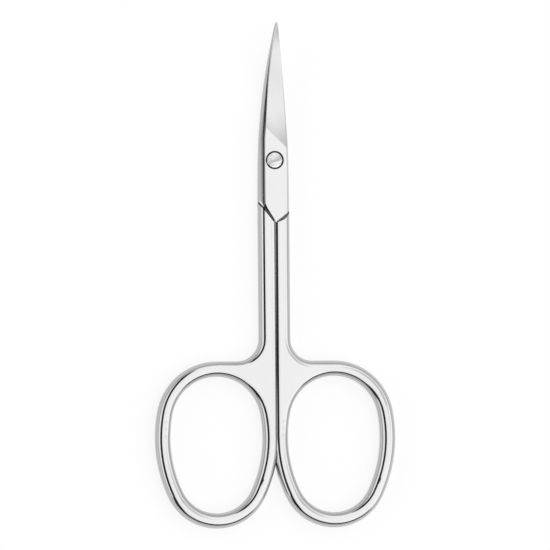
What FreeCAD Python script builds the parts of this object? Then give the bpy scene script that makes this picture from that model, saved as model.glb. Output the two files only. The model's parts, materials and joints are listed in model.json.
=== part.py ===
"""Cuticle scissors: two forged halves that cross at a lap joint, and the slotted screw they turn on.

Millimetres, drawn about the pivot: +Y towards the tips, +X to the right, +Z towards the screw head.
The finished pieces are moved so that the origin is the middle of the underside.
"""
import math
import os

import FreeCAD
import Part
from FreeCAD import Vector

# Overall sizes
overall_length = 90.0
pivot_to_tip = 24.5
body_thickness = 3.0

# Joint plates and blades, seen from the front
plate_spine_half = 2.66
plate_foot_half = 2.80
plate_edge_half = 1.75
tip_half = 0.10
spine_bulge = 0.40
edge_bulge = 0.42
blade_clearance = 0.04

# Out-of-plane curve of the blades, and the grinding that thins them
curve_start_radius = 3.0
curve_radius = 66.0
front_grind_radius = 25.0
front_grind_start = 4.3
front_tip_thickness = 0.44
front_grind_skew_deg = 45.0
rear_grind_radius = 105.0
rear_grind_start = 4.3
rear_tip_thickness = 0.53
rear_grind_skew_deg = 25.0

# Bevels along the blades
edge_bevel_deg = 38.0
edge_bevel_start = 4.0
spine_bevel_deg = 30.0
spine_land = 0.65

# Lower end of the joint plate: its point, its right corner, and the groove above the shank
point_offset = 0.15
point_drop = 10.95
corner_drop = 8.95
plate_corner_radius = 2.5
shoulder_gap = 0.58
shoulder_end_gap = 0.15
crease_drop = 10.90
crease_rise_deg = 51.0
groove_opening_deg = 6.8
groove_slope_deg = 29.0

# Handles
shank_half_width = 2.83
shank_gap_half = 0.20
ring_gap_half = 0.06
shank_fillet = 4.0

# Finger rings: an oval hole of four arcs, and the limb around it
hole_height = 24.3
hole_axis_offset = 10.72
hole_top_radius = 8.2
hole_bottom_radius = 7.0
hole_side_radius = 22.0
limb_width = 2.72
limb_round_share = 0.47

# Screw
screw_radius = 0.90
screw_bore_clearance = 0.05
head_radius = 1.45
head_pocket_clearance = 0.15
head_height = 0.75
head_seat_clearance = 0.02
head_dome = 0.10
dome_middle_share = 0.75
head_edge = 0.12
slot_width = 0.50
slot_depth = 0.35
slot_turn_deg = 23.0
screw_end_recess = 0.05
screw_end_chamfer = 0.15

# Room that cutting tools reach past the pieces
reach = 8.0

half_thickness = body_thickness / 2
plate_face = half_thickness
mating_face = blade_clearance / 2
ring_bottom = pivot_to_tip - overall_length
hole_bottom = ring_bottom + limb_width
hole_top = hole_bottom + hole_height
up = Vector(0, 0, 1)
half_turn = 180


def prism(points, low, high):
    """Upright prism over a plan polygon."""
    corners = [Vector(x, y, low) for x, y in points]
    face = Part.Face(Part.makePolygon(corners + corners[:1]))
    return face.extrude(up * (high - low))


def arc(start, middle, end):
    return Part.Arc(start, middle, end).toShape()


def line(start, end):
    return Part.LineSegment(start, end).toShape()


def side_half(root_half, bulge, y):
    """Half width of a blade at height y: a chord from root to tip with a bulge."""
    share = y / pivot_to_tip
    return root_half + (tip_half - root_half) * share + 4 * bulge * share * (1 - share)


def curve_rise(x, y):
    """Height of the surface on which the blades meet."""
    past = max(math.hypot(x, y) - curve_start_radius, 0)
    return curve_radius - math.sqrt(curve_radius**2 - past**2)


# Finger ring outlines, for the right-hand ring


def oval_centres():
    """Centres of the hole's arcs: top, bottom and the one that makes its right-hand side."""
    top = Vector(hole_axis_offset, hole_top - hole_top_radius, 0)
    bottom = Vector(hole_axis_offset, hole_bottom + hole_bottom_radius, 0)
    spacing = top.y - bottom.y
    to_top = hole_side_radius - hole_top_radius
    to_bottom = hole_side_radius - hole_bottom_radius
    along = (to_top**2 - to_bottom**2 + spacing**2) / (2 * spacing)
    across = math.sqrt(to_top**2 - along**2)
    return top, bottom, Vector(hole_axis_offset - across, top.y - along, 0)


def on_circle(centre, radius, towards):
    """Point of a circle on the ray from its centre through another point."""
    return centre + (towards - centre).normalize() * radius


def mirrored(point):
    """The same point on the other side of the hole's axis."""
    return Vector(2 * hole_axis_offset - point.x, point.y, point.z)


def oval_points(grow):
    """Joints and middles of the oval's arcs, offset outwards by grow."""
    top, bottom, side = oval_centres()
    side_top = side + (top - side).normalize() * (hole_side_radius + grow)
    side_bottom = side + (bottom - side).normalize() * (hole_side_radius + grow)
    side_middle = side + Vector(hole_side_radius + grow, 0, 0)
    crown = top + Vector(0, hole_top_radius + grow, 0)
    foot = bottom - Vector(0, hole_bottom_radius + grow, 0)
    return crown, side_top, side_middle, side_bottom, foot


def hole_wire():
    crown, side_top, side_middle, side_bottom, foot = oval_points(0)
    edges = [
        arc(mirrored(side_top), crown, side_top),
        arc(side_top, side_middle, side_bottom),
        arc(side_bottom, foot, mirrored(side_bottom)),
        arc(mirrored(side_bottom), mirrored(side_middle), mirrored(side_top)),
    ]
    return Part.Wire(edges)


def quarter_of(centre, start, end):
    """Middle of the short arc from start to end about a centre."""
    radius = (start - centre).Length
    return on_circle(centre, radius, (start + end) / 2)


def handle_wire():
    """Outline of shank and ring; its inner side is trimmed later by the gap between the shanks."""
    top, _, side = oval_centres()
    crown, side_top, side_middle, side_bottom, foot = oval_points(limb_width)
    inner_middle = mirrored(side_middle)
    inner_bottom = mirrored(side_bottom)
    inner_side = mirrored(side)
    bend = Vector(shank_half_width + shank_fillet, crown.y + shank_fillet, 0)
    bend_top = bend - Vector(shank_fillet, 0, 0)
    bend_foot = bend - Vector(0, shank_fillet, 0)
    head_left = Vector(inner_middle.x, 0, 0)
    head_right = Vector(shank_half_width, 0, 0)
    edges = [
        line(head_left, inner_middle),
        arc(inner_middle, quarter_of(inner_side, inner_middle, inner_bottom), inner_bottom),
        arc(inner_bottom, foot, side_bottom),
        arc(side_bottom, side_middle, side_top),
        arc(side_top, quarter_of(top, side_top, crown), crown),
        line(crown, bend_foot),
        arc(bend_foot, quarter_of(bend, bend_foot, bend_top), bend_top),
        line(bend_top, head_right),
        line(head_right, head_left),
    ]
    return Part.Wire(edges)


def rounded_handle():
    """Shank and ring as one forged bar, rounded on every outer edge, on the right-hand side."""
    face = Part.makeFace([handle_wire(), hole_wire()], "Part::FaceMakerBullseye")
    face.translate(up * -half_thickness)
    bar = face.extrude(up * body_thickness)
    rounding = min(limb_width, body_thickness) * limb_round_share
    rims = []
    for edge in bar.Edges:
        box = edge.BoundBox
        on_face = box.ZLength < rounding and abs(abs(box.ZMax) - half_thickness) < rounding
        across_head = box.YMin > -rounding
        if on_face and not across_head:
            rims.append(edge)
    return bar.makeFillet(rounding, rims)


# One half's joint plate and handle, as on the front half: spine on the right, handle on the left


def crease_y(x):
    """The line, across the left shank, where the shank ends above the joint plate's foot."""
    return -crease_drop - x * math.tan(math.radians(crease_rise_deg))


def foot_slope():
    """Slope of the joint plate's lower right edge."""
    return (point_drop - corner_drop) / (plate_foot_half - point_offset)


def shoulder_y(x):
    """Ends of the left shank's shoulder, under the other half's plate."""
    drop = shoulder_end_gap / math.cos(math.atan(foot_slope()))
    return -point_drop - drop + (-x - point_offset) * foot_slope()


def shoulder_hollow():
    """Round hollow of the shoulder, so that the gap to the other half's plate is widest halfway."""
    point = Vector(-point_offset, -point_drop, -reach)
    corner = Vector(-plate_foot_half, -corner_drop, -reach)
    edge = corner - point
    outward = Vector(edge.y, -edge.x, 0).normalize() * -1
    depth = shoulder_gap - shoulder_end_gap
    radius = edge.Length**2 / (8 * depth) + depth / 2
    centre = (point + corner) / 2 + outward * (shoulder_gap - radius)
    return Part.makeCylinder(radius, reach + mating_face, centre)


def trimmed_handle():
    handle = rounded_handle().mirror(Vector(0, 0, 0), Vector(1, 0, 0))
    ring_level = (hole_top + hole_bottom) / 2
    taper = (shank_gap_half - ring_gap_half) / (-point_drop - ring_level)

    def gap_x(y):
        return -ring_gap_half - (y - ring_level) * taper

    below = ring_bottom - reach
    gap = prism([(gap_x(0), 0), (gap_x(below), below), (reach, below), (reach, 0)], -reach, reach)
    above_crease = [(-reach, crease_y(-reach)), (reach, crease_y(reach)), (reach, reach), (-reach, reach)]
    above_shoulder = [(-reach, shoulder_y(-reach)), (reach, shoulder_y(reach)), (reach, reach), (-reach, reach)]
    handle = handle.cut(gap)
    handle = handle.cut(prism(above_crease, mating_face, reach))
    handle = handle.cut(prism(above_shoulder, -reach, mating_face))
    return handle.cut(shoulder_hollow())


def joint_plate():
    """Flat plate below the pivot line, ending in a point between the shanks."""
    outline = [
        (-plate_edge_half, 0),
        (-plate_edge_half, crease_y(-plate_edge_half)),
        (0, crease_y(0)),
        (point_offset, -point_drop),
        (plate_foot_half, -corner_drop),
        (plate_spine_half, 0),
    ]
    return prism(outline, mating_face, plate_face)


def shank_groove():
    """V groove between plate and shank: it starts at the point and deepens towards the outside."""
    apex = Vector(point_offset, -point_drop, plate_face)
    rise = math.radians(crease_rise_deg)
    plate_rise = math.radians(crease_rise_deg + groove_opening_deg)
    crease_end = apex + Vector(-math.cos(rise), math.sin(rise), 0) * reach
    plate_end = apex + Vector(-math.cos(plate_rise), math.sin(plate_rise), 0) * reach
    deep_end = crease_end - up * reach * math.tan(math.radians(groove_slope_deg))
    triangles = [
        (apex, crease_end, plate_end),
        (apex, plate_end, deep_end),
        (apex, deep_end, crease_end),
        (crease_end, deep_end, plate_end),
    ]
    faces = [Part.Face(Part.makePolygon([a, b, c, a])) for a, b, c in triangles]
    groove = Part.makeSolid(Part.Shell(faces))
    if groove.Volume < 0:
        groove.reverse()
    return groove


def rounded_plate():
    """Joint plate with its groove side ground, and the corner above the groove rounded."""
    plate = joint_plate().cut(shank_groove())
    corner = Vector(-plate_edge_half, 0, plate_face)
    steps = (plate_edge_half + point_offset) * math.tan(math.radians(crease_rise_deg + groove_opening_deg))
    corner.y = steps - point_drop
    edges = [edge for edge in plate.Edges
             if min((vertex.Point - corner).Length for vertex in edge.Vertexes) < blade_clearance
             and edge.BoundBox.ZLength > mating_face]
    return plate.makeFillet(plate_corner_radius, edges)


def lower_half():
    return rounded_plate().fuse(trimmed_handle().cut(shank_groove()))


# Blades


def blade_blank(spine_side):
    """Plan of a blade from the pivot line to the tip, as a tall prism."""
    middle = pivot_to_tip / 2
    spine_root = Vector(spine_side * plate_spine_half, 0, -reach)
    spine_middle = Vector(spine_side * side_half(plate_spine_half, spine_bulge, middle), middle, -reach)
    spine_tip = Vector(spine_side * tip_half, pivot_to_tip, -reach)
    edge_tip = Vector(-spine_side * tip_half, pivot_to_tip, -reach)
    edge_middle = Vector(-spine_side * side_half(plate_edge_half, edge_bulge, middle), middle, -reach)
    edge_root = Vector(-spine_side * plate_edge_half, 0, -reach)
    outline = Part.Wire([
        arc(spine_root, spine_middle, spine_tip),
        line(spine_tip, edge_tip),
        arc(edge_tip, edge_middle, edge_root),
        line(edge_root, spine_root),
    ])
    return Part.Face(outline).extrude(up * 2 * reach)


def below_mating(offset):
    """Everything under the surface on which the blades slide: a half turn about the pivot axis."""
    rim = pivot_to_tip + reach
    middle = (curve_start_radius + rim) / 2
    centre = Vector(0, 0, 0)
    start = Vector(curve_start_radius, 0, offset)
    bend = Vector(middle, 0, curve_rise(middle, 0) + offset)
    end = Vector(rim, 0, curve_rise(rim, 0) + offset)
    floor = -2 * reach
    outline = Part.Wire([
        line(centre + up * floor, centre + up * offset),
        line(centre + up * offset, start),
        arc(start, bend, end),
        line(end, Vector(rim, 0, floor)),
        line(Vector(rim, 0, floor), centre + up * floor),
    ])
    return Part.Face(outline).revolve(centre, up, half_turn)


def entry_slope(radius, start, skew_deg, rise):
    """Slope at which a wheel leaves a plate's face, so that it passes the tip at the given rise."""
    run = (pivot_to_tip - start) * math.cos(math.radians(skew_deg))
    chord = math.hypot(run, rise)
    return math.atan2(rise, run) - math.asin(chord / (2 * radius))


def grinding_wheel(radius, start, skew_deg, face_height, tip_height):
    """Wheel whose rim meets a plate's face along a slanted line and reaches the tip at its height."""
    skew = math.radians(skew_deg)
    slope = entry_slope(radius, start, skew_deg, tip_height - face_height)
    across = Vector(math.sin(skew), math.cos(skew), 0)
    along = Vector(math.cos(skew), -math.sin(skew), 0)
    middle = across * (start * math.cos(skew) - radius * math.sin(slope))
    middle.z = face_height + radius * math.cos(slope)
    width = pivot_to_tip + reach
    return Part.makeCylinder(radius, 2 * width, middle - along * width, along)


def bevel_tool(root_half, bulge, land, lean_from_deg, lean_to_deg, low, y_from, y_to, sign_x, sign_z):
    """Slanted cut that follows a blade's side, with a lean that changes along it."""
    count = 7
    rails = []
    for height in (land - low, land + reach / 2):
        points = []
        for index in range(count):
            share = index / (count - 1)
            y = y_from + (y_to - y_from) * share
            x = side_half(root_half, bulge, y) if y > 0 else root_half
            rise = curve_rise(x, y) if y > 0 else 0
            lean = math.radians(lean_from_deg + (lean_to_deg - lean_from_deg) * share)
            inset = (height - land) * math.tan(lean)
            points.append(Vector(sign_x * (x - inset), y, rise + sign_z * height))
        rail = Part.BSplineCurve()
        rail.interpolate(points)
        rails.append(rail.toShape())
    return Part.makeRuledSurface(rails[0], rails[1]).extrude(Vector(sign_x * reach, 0, 0))


def edge_bevel(sign_x, sign_z):
    past_tip = pivot_to_tip + blade_clearance
    return bevel_tool(plate_edge_half, edge_bulge, 0, 0, edge_bevel_deg, spine_land,
                      edge_bevel_start, past_tip, sign_x, sign_z)


def spine_bevel(sign_x, sign_z):
    past_tip = pivot_to_tip + blade_clearance
    return bevel_tool(plate_spine_half, spine_bulge, spine_land, spine_bevel_deg, spine_bevel_deg, 0,
                      -point_drop, past_tip, sign_x, sign_z)


def front_blade():
    """Right-hand blade, on top: hollow ground on its upper face."""
    tip_height = curve_rise(0, pivot_to_tip) + mating_face + front_tip_thickness
    wheel = grinding_wheel(front_grind_radius, front_grind_start, front_grind_skew_deg, plate_face, tip_height)
    slope = entry_slope(front_grind_radius, front_grind_start, front_grind_skew_deg, tip_height - plate_face)
    skew = math.tan(math.radians(front_grind_skew_deg))
    lowest = front_grind_start - front_grind_radius * math.sin(slope)
    root = [(-reach, -reach), (reach, -reach), (reach, lowest - reach * skew), (-reach, lowest + reach * skew)]
    blade = blade_blank(1).cut(below_mating(mating_face))
    blade = blade.cut(wheel).cut(prism(root, plate_face, 2 * reach))
    return blade.cut(edge_bevel(-1, 1))


def rear_blade():
    """Left-hand blade, underneath: ground round on its outer, lower face."""
    tip_height = curve_rise(0, pivot_to_tip) - mating_face - rear_tip_thickness
    wheel = grinding_wheel(rear_grind_radius, rear_grind_start, rear_grind_skew_deg, -plate_face, tip_height)
    base = Part.makeBox(4 * reach, 2 * pivot_to_tip, 2 * reach, Vector(-2 * reach, -reach, -plate_face))
    blade = blade_blank(-1).common(below_mating(-mating_face))
    blade = blade.common(wheel).common(base)
    return blade.cut(edge_bevel(1, -1))


# Pieces


def one_solid(shape):
    return shape.removeSplitter().Solids[0]


def front_half():
    body = lower_half().fuse(front_blade()).cut(spine_bevel(1, 1))
    seat = plate_face - head_height
    bore = Part.makeCylinder(screw_radius + screw_bore_clearance, 2 * reach, Vector(0, 0, -reach))
    pocket = Part.makeCylinder(head_radius + head_pocket_clearance, reach, Vector(0, 0, seat))
    return one_solid(body.cut(bore).cut(pocket))


def rear_half():
    lower = lower_half()
    lower.rotate(Vector(0, 0, 0), Vector(0, 1, 0), half_turn)
    body = lower.fuse(rear_blade()).cut(spine_bevel(-1, -1))
    bore = Part.makeCylinder(screw_radius, 2 * reach, Vector(0, 0, -reach))
    return one_solid(body.cut(bore))


def pivot_screw():
    """Flat shank, slotted head with a slight dome, turned as one profile."""
    end = -plate_face + screw_end_recess
    seat = plate_face - head_height + head_seat_clearance
    rim = plate_face - head_edge
    crown = plate_face + head_dome
    dome_half = head_radius - head_edge
    profile = Part.Wire([
        line(Vector(0, 0, end), Vector(screw_radius - screw_end_chamfer, 0, end)),
        line(Vector(screw_radius - screw_end_chamfer, 0, end), Vector(screw_radius, 0, end + screw_end_chamfer)),
        line(Vector(screw_radius, 0, end + screw_end_chamfer), Vector(screw_radius, 0, seat)),
        line(Vector(screw_radius, 0, seat), Vector(head_radius, 0, seat)),
        line(Vector(head_radius, 0, seat), Vector(head_radius, 0, rim)),
        line(Vector(head_radius, 0, rim), Vector(dome_half, 0, plate_face)),
        arc(Vector(dome_half, 0, plate_face),
            Vector(dome_half / 2, 0, plate_face + head_dome * dome_middle_share), Vector(0, 0, crown)),
        line(Vector(0, 0, crown), Vector(0, 0, end)),
    ])
    screw = Part.Face(profile).revolve(Vector(0, 0, 0), up, 2 * half_turn)
    slot = Part.makeBox(2 * reach, slot_width, reach, Vector(-reach, -slot_width / 2, plate_face - slot_depth))
    slot.rotate(Vector(0, 0, 0), up, slot_turn_deg)
    return one_solid(screw.cut(slot))


os.makedirs("parts", exist_ok=True)
pieces = {"front_half": front_half(), "rear_half": rear_half(), "pivot_screw": pivot_screw()}
to_origin = Vector(0, overall_length / 2 - pivot_to_tip, half_thickness)
for name, piece in pieces.items():
    piece.translate(to_origin)
    piece.exportStep("parts/" + name + ".step")
    box = piece.BoundBox
    print(name, piece.isValid(), round(piece.Volume, 2), box)
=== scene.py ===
import json
import math

import bpy
from mathutils import Matrix, Vector


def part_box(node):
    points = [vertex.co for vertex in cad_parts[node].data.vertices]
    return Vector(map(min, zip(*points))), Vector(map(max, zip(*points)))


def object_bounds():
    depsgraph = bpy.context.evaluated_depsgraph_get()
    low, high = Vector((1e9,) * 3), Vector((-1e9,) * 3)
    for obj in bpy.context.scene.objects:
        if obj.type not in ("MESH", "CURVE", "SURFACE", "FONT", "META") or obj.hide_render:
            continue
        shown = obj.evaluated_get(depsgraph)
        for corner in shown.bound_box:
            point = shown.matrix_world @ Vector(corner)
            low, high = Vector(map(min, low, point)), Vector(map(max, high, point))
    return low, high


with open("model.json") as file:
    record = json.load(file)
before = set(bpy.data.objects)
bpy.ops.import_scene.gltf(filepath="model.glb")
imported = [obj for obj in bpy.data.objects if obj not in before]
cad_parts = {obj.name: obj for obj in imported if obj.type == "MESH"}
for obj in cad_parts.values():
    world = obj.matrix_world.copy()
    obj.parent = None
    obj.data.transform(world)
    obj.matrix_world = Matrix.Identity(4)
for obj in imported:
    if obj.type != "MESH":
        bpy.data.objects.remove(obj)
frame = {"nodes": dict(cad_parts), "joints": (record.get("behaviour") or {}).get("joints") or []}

mm = 0.001
cad_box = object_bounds()

# Places in the part: pivot, surface on which the blades meet, crease above each shank, screw head
pivot = Vector(frame["joints"][0]["pos_m"])
blade_length = cad_box[1][1] - pivot.y
curve_start = 3.0 * mm
curve_radius = 66.0 * mm
edge_half = 1.75 * mm
edge_bulge = 0.42 * mm
tip_half = 0.10 * mm
grind_start = 4.3 * mm
crease_drop = 10.9 * mm
crease_rise = math.radians(51.0)
head_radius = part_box("pivot_screw")[1].x
head_top = 2 * pivot.z
pocket_radius = head_radius + 0.15 * mm

# Photograph: frame in pixels, and how the scissors lie in it
photo_side_px = 550
tip_to_ring_px = 505.5
lens_mm = 1200.0
sensor_mm = 36.0
view_tilt = math.radians(13.0)
view_roll = -0.0081
aim = Vector((0.21 * mm, 0.05 * mm, pivot.z))

# Greys of the steel, with the greys of painted shade and painted highlight, and how much the haze and the
# brush lines change them
steel_grey = 0.55
steel_haze = 0.02
satin_grey = 0.33
# Painted highlight on the lip, then painted shade on walls, foot, between the shanks and in the crease
painted_lip_highlight_grey = 0.70
painted_deep_shade_grey = 0.06
painted_foot_shade_grey = 0.13
painted_mid_shade_grey = 0.40
painted_crevice_shade_grey = 0.04
screw_grey = 0.54
screw_streak = 0.10
# Painted shade in the screw's slot
slot_grey = 0.42

# Shares of painted shade by which walls and the lower ground face are darker, and of painted light by which
# the blade's end is brighter
wall_shade = 0.16
dusk_shade = 0.22
tip_gain = 1.18

# Roughness, as pairs where it follows a noise
polish_rough = (0.05, 0.11)
scratch_rough = 0.06
satin_rough = 0.20
ground_rough = 0.24
dull_rough = 0.40
screw_rough = (0.22, 0.38)

# Marks of polishing and brushing: direction in degrees, stretch and fineness of each noise
haze_noise = (12, 1.6, 260.0)
scratch_noise = (37, 40.0, 4200.0)
grain_noise = (0, 14.0, 9000.0)
screw_noise = (100, 9.0, 5200.0)
noise_detail = 2.0
scratch_cut = (0.62, 0.74)
streak_cut = (0.40, 0.60)
scratch_relief = -0.3
grain_relief = 0.5
polish_bump = 0.02
screw_bump = 0.2
bump_depth = 0.02 * mm

# How level a face is, from 0 for a wall to 1 for a flat
level_faces = (0.75, 0.9)
steep_faces = (0.35, 0.55)

# Edges of the finishes and of the painted shade and highlights: a pair is where a finish starts and stops
# to change, a third value is a soft width
satin_fade = (0.05 * mm, 0.09 * mm)
inner_fade = (0.05 * mm, 0.15 * mm)
shank_tops = (pivot.y - 11.4 * mm, pivot.y - 11.0 * mm)
dull_shade_stretch = (4 * mm, 13 * mm)
dull_shade_heights = (0.62 * mm, 0.10 * mm)
wall_foot = (pivot.y - 9.2 * mm, pivot.y - 8.0 * mm)
strip_foot = (pivot.y - 9.2 * mm, pivot.y - 8.6 * mm)
gap_fade = (0.5 * mm, 0.7 * mm)
gap_middle = 0.55 * mm
gap_outside = pivot.z - 0.6 * mm
crease_band = (-0.24 * mm, 0.06 * mm, 0.04 * mm)
crease_side = (-0.2 * mm, 0.2 * mm)
strip_lip_band = (0.28 * mm, 0.42 * mm, 0.04 * mm)
strip_lip_end = (2.3 * mm, 2.6 * mm)
wall_lip_band = (0.06 * mm, 0.20 * mm, 0.03 * mm)
wall_lip_start = (0.9 * mm, 1.3 * mm)
runout_fade = (0.0, 0.5 * mm)
dusk_along = (1 * mm, 7 * mm)
dusk_across = (-0.5 * mm, 2.2 * mm)
tip_stretch = (10 * mm, 18 * mm)
pocket_band = (head_radius - 0.3 * mm, pocket_radius + 0.03 * mm, 0.03 * mm)
slot_fade = (head_top - 0.22 * mm, head_top - 0.12 * mm)
rim_fade = (head_radius - 0.10 * mm, head_radius - 0.04 * mm)

# Studio tent: light above and low down, and the edge between them as a height that tilts and bows
tent_light = 1.56
low_light = 0.72
low_edge = (0.30, 0.39)
low_tilt_x = -0.123
low_tilt_y = -0.118
low_bow = -0.225
side_fade = (-0.5, 0.6)
side_light = (0.90, 1.04)

# Dark seams of the tent: angles from overhead with a soft width, reach along the seam, and depth
left_seam_angles = (math.radians(19), math.radians(48), math.radians(3))
left_seam_reach = (-0.75, 0.75, 0.1)
left_seam_lean = 0.22
left_seam_shade = 0.97
near_seam_angles = (math.radians(47), math.radians(66), math.radians(3))
near_seam_reach = (-0.7, 0.7, 0.1)
near_seam_shade = 0.96

# Soft grey patch in the tent, right of the lens
patch_direction = Vector((0.5, 0.25, 0.83)).normalized()
patch_radius = math.radians(18)
patch_shade = 0.45

# Floor
floor_size = 4
floor_grey = 0.85
floor_glow = 1.05
glow_share = 0.8


def node(tree, kind, **settings):
    made = tree.nodes.new(kind)
    for name, value in settings.items():
        setattr(made, name, value)
    return made


def feed(tree, target, socket, source):
    """Sets an input to a constant, or links a node's output to it."""
    if isinstance(source, bpy.types.NodeSocket):
        tree.links.new(source, target.inputs[socket])
    else:
        target.inputs[socket].default_value = source


def calc(tree, operation, *values):
    made = node(tree, "ShaderNodeMath", operation=operation)
    for index, value in enumerate(values):
        feed(tree, made, index, value)
    return made.outputs[0]


def ramp(tree, value, start, end, low=0.0, high=1.0):
    """Smooth step of a value, from low at start to high at end."""
    made = node(tree, "ShaderNodeMapRange", interpolation_type="SMOOTHSTEP")
    for socket, source in (("Value", value), ("From Min", start), ("From Max", end),
                           ("To Min", low), ("To Max", high)):
        feed(tree, made, socket, source)
    return made.outputs["Result"]


def falling(tree, value, start, end):
    return ramp(tree, value, start, end, 1.0, 0.0)


def product(tree, *values):
    total = values[0]
    for value in values[1:]:
        total = calc(tree, "MULTIPLY", total, value)
    return total


def without(tree, mask):
    return calc(tree, "SUBTRACT", 1, mask)


def band(tree, value, low, high, soft):
    """1 between low and high, fading to 0 over the soft width outside them."""
    return product(tree, ramp(tree, value, low - soft, low), falling(tree, value, high, high + soft))


def split(tree, vector):
    parts = node(tree, "ShaderNodeSeparateXYZ")
    feed(tree, parts, 0, vector)
    return parts.outputs["X"], parts.outputs["Y"], parts.outputs["Z"]


def blend(tree, mask, first, second):
    made = node(tree, "ShaderNodeMix", data_type="FLOAT")
    feed(tree, made, "Factor", mask)
    feed(tree, made, "A", first)
    feed(tree, made, "B", second)
    return made.outputs["Result"]


def new_material(name):
    material = bpy.data.materials.new(name)
    material.use_nodes = True
    tree = material.node_tree
    return material, tree, tree.nodes["Principled BSDF"]


# Distances in the part


def past_pivot(tree, y):
    return calc(tree, "MAXIMUM", calc(tree, "SUBTRACT", y, pivot.y), 0.0)


def radius_from_pivot(tree, x, y):
    along = calc(tree, "SUBTRACT", y, pivot.y)
    squares = calc(tree, "ADD", calc(tree, "MULTIPLY", x, x), calc(tree, "MULTIPLY", along, along))
    return calc(tree, "SQRT", squares)


def meeting_height(tree, x, y):
    """Height of the surface on which the two halves slide."""
    past = calc(tree, "SUBTRACT", radius_from_pivot(tree, x, y), curve_start)
    past = calc(tree, "MAXIMUM", past, 0.0)
    past = product(tree, past, calc(tree, "GREATER_THAN", y, pivot.y))
    root = calc(tree, "SQRT", calc(tree, "SUBTRACT", curve_radius**2, calc(tree, "MULTIPLY", past, past)))
    return calc(tree, "SUBTRACT", curve_radius + pivot.z, root)


def edge_distance(tree, x, y):
    """How far a point lies outside the cutting-side outline of a plate and its blade."""
    share = calc(tree, "DIVIDE", past_pivot(tree, y), blade_length)
    chord = calc(tree, "MULTIPLY_ADD", share, tip_half - edge_half, edge_half)
    swell = product(tree, share, without(tree, share), 4 * edge_bulge)
    return calc(tree, "SUBTRACT", calc(tree, "ABSOLUTE", x), calc(tree, "ADD", chord, swell))


def crease_distances(tree, x, y, facing_z):
    """How far a point lies above the crease of the face it is seen on, and out from the middle."""
    outward = product(tree, x, calc(tree, "SIGN", facing_z), -1)
    rise = calc(tree, "MULTIPLY", outward, -math.sin(crease_rise))
    along = calc(tree, "SUBTRACT", y, pivot.y - crease_drop)
    return calc(tree, "MULTIPLY_ADD", along, math.cos(crease_rise), rise), outward


# Steel finishes


def stretched_noise(tree, place, turn_deg, stretch, scale):
    """Noise drawn out along one direction in the plane of the scissors."""
    mapping = node(tree, "ShaderNodeMapping", vector_type="TEXTURE")
    feed(tree, mapping, "Vector", place)
    feed(tree, mapping, "Rotation", (0, 0, math.radians(turn_deg)))
    feed(tree, mapping, "Scale", (1, stretch, 1))
    noise = node(tree, "ShaderNodeTexNoise")
    feed(tree, noise, "Vector", mapping.outputs[0])
    feed(tree, noise, "Scale", scale)
    feed(tree, noise, "Detail", noise_detail)
    return noise.outputs["Fac"]


def finish_metal(tree, shader, grey, rough, relief, bump_strength):
    """Gives a shader a grey metal of this roughness, with a fine relief."""
    colour = node(tree, "ShaderNodeCombineColor")
    for channel in ("Red", "Green", "Blue"):
        feed(tree, colour, channel, grey)
    feed(tree, shader, "Base Color", colour.outputs[0])
    feed(tree, shader, "Metallic", 1.0)
    feed(tree, shader, "Roughness", rough)
    bump = node(tree, "ShaderNodeBump")
    feed(tree, bump, "Strength", bump_strength)
    feed(tree, bump, "Distance", bump_depth)
    feed(tree, bump, "Height", relief)
    feed(tree, shader, "Normal", bump.outputs[0])


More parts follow.
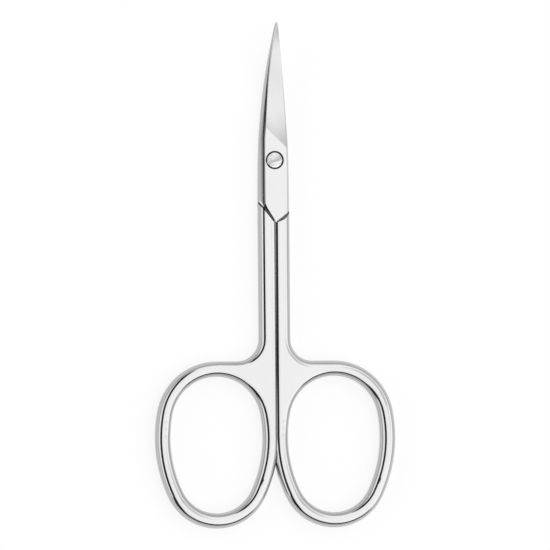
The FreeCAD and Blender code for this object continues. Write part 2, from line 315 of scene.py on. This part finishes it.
def polished_steel():
    material, tree, shader = new_material("polished_steel")
    place = node(tree, "ShaderNodeTexCoord").outputs["Object"]
    x, y, z = split(tree, place)
    facing_z = split(tree, node(tree, "ShaderNodeTexCoord").outputs["Normal"])[2]
    levelness = calc(tree, "ABSOLUTE", facing_z)
    steep = falling(tree, levelness, *steep_faces)

    # Ground inner faces
    above_meeting = calc(tree, "SUBTRACT", z, meeting_height(tree, x, y))
    off_meeting = calc(tree, "ABSOLUTE", above_meeting)
    satin = product(tree, falling(tree, off_meeting, *satin_fade), ramp(tree, levelness, *level_faces))

    # Walls along the edges and the plate's foot: rough walls, with painted shade on the walls and the foot
    inner = falling(tree, edge_distance(tree, x, y), *inner_fade)
    above_shanks = ramp(tree, y, *shank_tops)
    wall = product(tree, steep, inner, above_shanks)
    dull_shade_height = ramp(tree, past_pivot(tree, y), *dull_shade_stretch, *dull_shade_heights)
    flank = product(tree, wall, calc(tree, "LESS_THAN", off_meeting, dull_shade_height))
    flank_tone = ramp(tree, y, *wall_foot, painted_mid_shade_grey, painted_deep_shade_grey)
    foot = product(tree, satin, falling(tree, y, *strip_foot))

    # Walls between the shanks, rough, with painted shade in the middle and at both faces
    near_middle = falling(tree, calc(tree, "ABSOLUTE", x), *gap_fade)
    between = product(tree, near_middle, without(tree, above_shanks), steep)
    middle_band = calc(tree, "LESS_THAN", off_meeting, gap_middle)
    outside_bands = calc(tree, "GREATER_THAN", off_meeting, gap_outside)
    gap = product(tree, between, calc(tree, "MAXIMUM", middle_band, outside_bands))

    # Painted shade as a dark line in the crease where a shank ends above the other half's plate, and a
    # painted highlight as a bright lip beside it
    past_crease, outward = crease_distances(tree, x, y, facing_z)
    crease = product(tree, band(tree, past_crease, *crease_band), ramp(tree, outward, *crease_side))
    strip_lip = product(tree, satin, band(tree, past_crease, *strip_lip_band),
                        falling(tree, outward, *strip_lip_end))
    wall_lip = product(tree, wall, band(tree, past_crease, *wall_lip_band),
                       ramp(tree, outward, *wall_lip_start))
    painted_lip_highlight = calc(tree, "MAXIMUM", strip_lip, wall_lip)

    # Ground blade faces past a slanted run-out line, with painted shade near it on the outer side
    across = calc(tree, "MULTIPLY_ADD", x, calc(tree, "SIGN", above_meeting), y)
    past_runout = calc(tree, "SUBTRACT", across, pivot.y + grind_start)
    ground = product(tree, ramp(tree, past_runout, *runout_fade), without(tree, satin))
    dusk = product(tree, ground, falling(tree, past_runout, *dusk_along), ramp(tree, x, *dusk_across))

    # Painted shade as a dark seam in the screw's pocket
    pocket = band(tree, radius_from_pivot(tree, x, y), *pocket_band)

    # Tone
    haze = stretched_noise(tree, place, *haze_noise)
    grey = blend(tree, haze, steel_grey - steel_haze, steel_grey + steel_haze)
    # Painted shade on steep walls and near the run-out, and painted light towards the blade's end
    grey = product(tree, grey, calc(tree, "MULTIPLY_ADD", steep, -wall_shade, 1.0))
    grey = product(tree, grey, calc(tree, "MULTIPLY_ADD", dusk, -dusk_shade, 1.0))
    grey = product(tree, grey, ramp(tree, past_runout, *tip_stretch, 1.0, tip_gain))
    # Satin inner faces; painted shade on the foot, the walls, between the shanks, in the crease and in the
    # screw's pocket; painted highlight on the lip
    for mask, tone in ((satin, satin_grey), (foot, painted_foot_shade_grey), (flank, flank_tone), (gap, painted_mid_shade_grey),
                       (painted_lip_highlight, painted_lip_highlight_grey), (calc(tree, "MAXIMUM", pocket, crease), painted_crevice_shade_grey)):
        grey = blend(tree, mask, grey, tone)

    # Roughness and relief
    scratches = ramp(tree, stretched_noise(tree, place, *scratch_noise), *scratch_cut)
    rough = calc(tree, "MULTIPLY_ADD", scratches, scratch_rough, blend(tree, haze, *polish_rough))
    for mask, value in ((satin, satin_rough), (ground, ground_rough),
                        (calc(tree, "MAXIMUM", flank, gap), dull_rough)):
        rough = blend(tree, mask, rough, value)
    grain = calc(tree, "MULTIPLY", stretched_noise(tree, place, *grain_noise), grain_relief)
    relief = calc(tree, "MULTIPLY_ADD", scratches, scratch_relief, grain)
    finish_metal(tree, shader, grey, rough, relief, polish_bump)
    return material


def screw_steel():
    material, tree, shader = new_material("screw_steel")
    place = node(tree, "ShaderNodeTexCoord").outputs["Object"]
    x, y, z = split(tree, place)
    lines = stretched_noise(tree, place, *screw_noise)
    streaks = ramp(tree, lines, *streak_cut)
    # Painted shade in the slot, and a painted dark ring of shade at the head's rim
    sunk = falling(tree, z, *slot_fade)
    rim = ramp(tree, radius_from_pivot(tree, x, y), *rim_fade)
    grey = blend(tree, streaks, screw_grey - screw_streak, screw_grey + screw_streak)
    grey = blend(tree, sunk, grey, slot_grey)
    grey = blend(tree, rim, grey, painted_deep_shade_grey)
    finish_metal(tree, shader, grey, blend(tree, lines, *screw_rough), lines, screw_bump)
    return material


polished = polished_steel()
screw = screw_steel()
for name, part in frame["nodes"].items():
    part.data.materials.clear()
    part.data.materials.append(screw if name == "pivot_screw" else polished)
    part.modifiers.new("normals", "WEIGHTED_NORMAL").keep_sharp = True


# Studio


def studio_tent(tree):
    """Light of the tent by direction: bright above, grey low down, with two dark seams and a soft patch."""
    direction = node(tree, "ShaderNodeTexCoord").outputs["Generated"]
    x, y, z = split(tree, direction)

    # Seams left of the lens and towards the rings
    leftward = calc(tree, "ARCTAN2", calc(tree, "MULTIPLY", x, -1), z)
    leftward = calc(tree, "MULTIPLY_ADD", y, left_seam_lean, leftward)
    nearward = calc(tree, "ARCTAN2", calc(tree, "MULTIPLY", y, -1), z)
    left_seam = product(tree, band(tree, leftward, *left_seam_angles), band(tree, y, *left_seam_reach),
                        left_seam_shade)
    near_seam = product(tree, band(tree, nearward, *near_seam_angles), band(tree, x, *near_seam_reach),
                        near_seam_shade)

    # Patch
    towards = node(tree, "ShaderNodeVectorMath", operation="DOT_PRODUCT")
    feed(tree, towards, 0, direction)
    feed(tree, towards, 1, patch_direction)
    patch = ramp(tree, towards.outputs["Value"], math.cos(patch_radius), 1.0, 0.0, patch_shade)

    # Low part and sides
    height = calc(tree, "MULTIPLY_ADD", x, low_tilt_x, z)
    height = calc(tree, "MULTIPLY_ADD", y, low_tilt_y, height)
    height = calc(tree, "MULTIPLY_ADD", calc(tree, "MULTIPLY", y, y), low_bow, height)
    lit = blend(tree, ramp(tree, height, *low_edge), low_light, tent_light)
    lit = product(tree, lit, ramp(tree, x, *side_fade, *side_light))
    for dark in (left_seam, near_seam, patch):
        lit = product(tree, lit, without(tree, dark))
    return lit


world = bpy.data.worlds.new("studio")
bpy.context.scene.world = world
world.use_nodes = True
tent_tree = world.node_tree
background = tent_tree.nodes["Background"]
seen = node(tent_tree, "ShaderNodeLightPath").outputs["Is Camera Ray"]
feed(tent_tree, background, "Strength", blend(tent_tree, seen, studio_tent(tent_tree), 1.0))
feed(tent_tree, background, "Color", (1, 1, 1, 1))


def floor_white():
    """White to the camera and in reflections, and plain pale grey to the light, so that shadows stay."""
    material, tree, diffuse = new_material("floor_white")
    feed(tree, diffuse, "Base Color", (floor_grey, floor_grey, floor_grey, 1))
    feed(tree, diffuse, "Roughness", 1.0)
    feed(tree, diffuse, "Specular IOR Level", 0.0)
    paths = node(tree, "ShaderNodeLightPath")
    shown = calc(tree, "MAXIMUM", paths.outputs["Is Camera Ray"], paths.outputs["Is Glossy Ray"])
    shown = calc(tree, "MAXIMUM", shown, paths.outputs["Is Transmission Ray"])
    glow = node(tree, "ShaderNodeEmission")
    feed(tree, glow, "Strength", floor_glow)
    mix = node(tree, "ShaderNodeMixShader")
    feed(tree, mix, 0, calc(tree, "MULTIPLY", shown, glow_share))
    feed(tree, mix, 1, diffuse.outputs[0])
    feed(tree, mix, 2, glow.outputs[0])
    feed(tree, tree.nodes["Material Output"], "Surface", mix.outputs[0])
    return material


bpy.ops.mesh.primitive_plane_add(size=floor_size, location=(0, 0, cad_box[0][2]))
floor = bpy.context.object
floor.name = "floor"
floor.data.materials.append(floor_white())

# Camera: a little left of square on, so that left-facing sides show
length = cad_box[1][1] - cad_box[0][1]
field = photo_side_px * length / tip_to_ring_px
distance = lens_mm / sensor_mm * field
right = Vector((math.cos(view_tilt), 0, math.sin(view_tilt)))
up = Vector((0, 1, 0))
back = right.cross(up)
rolled_right = right * math.cos(view_roll) + up * math.sin(view_roll)
rolled_up = up * math.cos(view_roll) - right * math.sin(view_roll)
camera_data = bpy.data.cameras.new("camera")
camera = bpy.data.objects.new("camera", camera_data)
bpy.context.scene.collection.objects.link(camera)
camera_data.lens = lens_mm
camera_data.sensor_width = sensor_mm
turn = Matrix((rolled_right, rolled_up, back)).transposed().to_4x4()
camera.matrix_world = Matrix.Translation(aim + back * distance) @ turn
bpy.context.scene.camera = camera

bpy.context.scene.view_settings.view_transform = "Standard"
